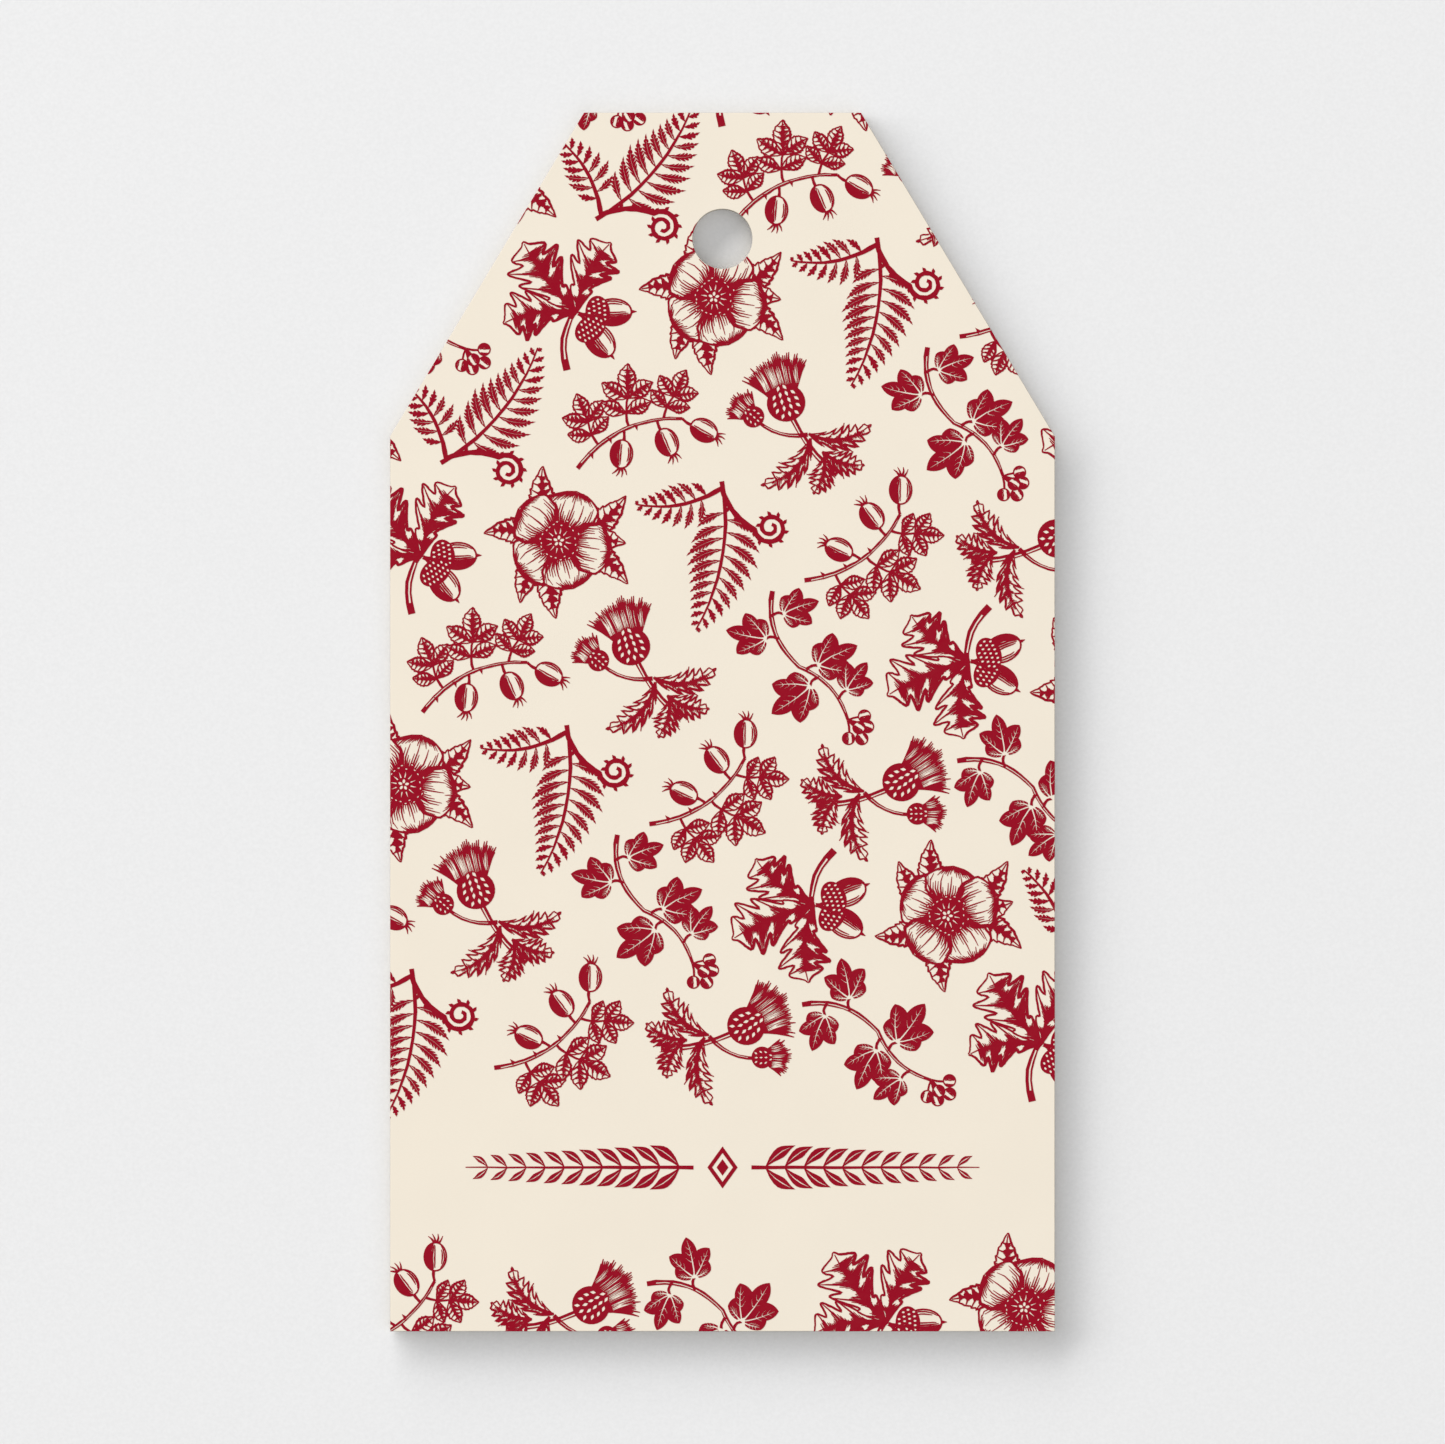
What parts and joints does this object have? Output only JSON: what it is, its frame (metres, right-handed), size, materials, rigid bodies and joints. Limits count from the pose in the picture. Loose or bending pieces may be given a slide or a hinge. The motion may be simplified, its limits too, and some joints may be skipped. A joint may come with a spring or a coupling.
{
  "type": "gift tag",
  "caption": "Flat die-cut gift tag of pasted cream card, with slanted shoulders, a punched string hole near the top and a crimson foliage print on its face.",
  "frame": {"origin": "middle of the tag's outline, on the back that it lies on", "axes": "+Y along the tag towards the string hole, +Z out of the printed face, +X to the right as the face is seen"},
  "size_m": [0.06, 0.11, 0.0011],
  "materials": {
    "face_paper": "matte",
    "core_paper": "matte",
    "back_paper": "matte",
    "glue": "satin",
    "crimson_ink": "satin"
  },
  "bodies": {
    "root": {"back_sheet": "back_paper", "back_glue_film": "glue", "core_board": "core_paper", "face_glue_film": "glue", "face_sheet": "face_paper"}
  },
  "joints": []
}
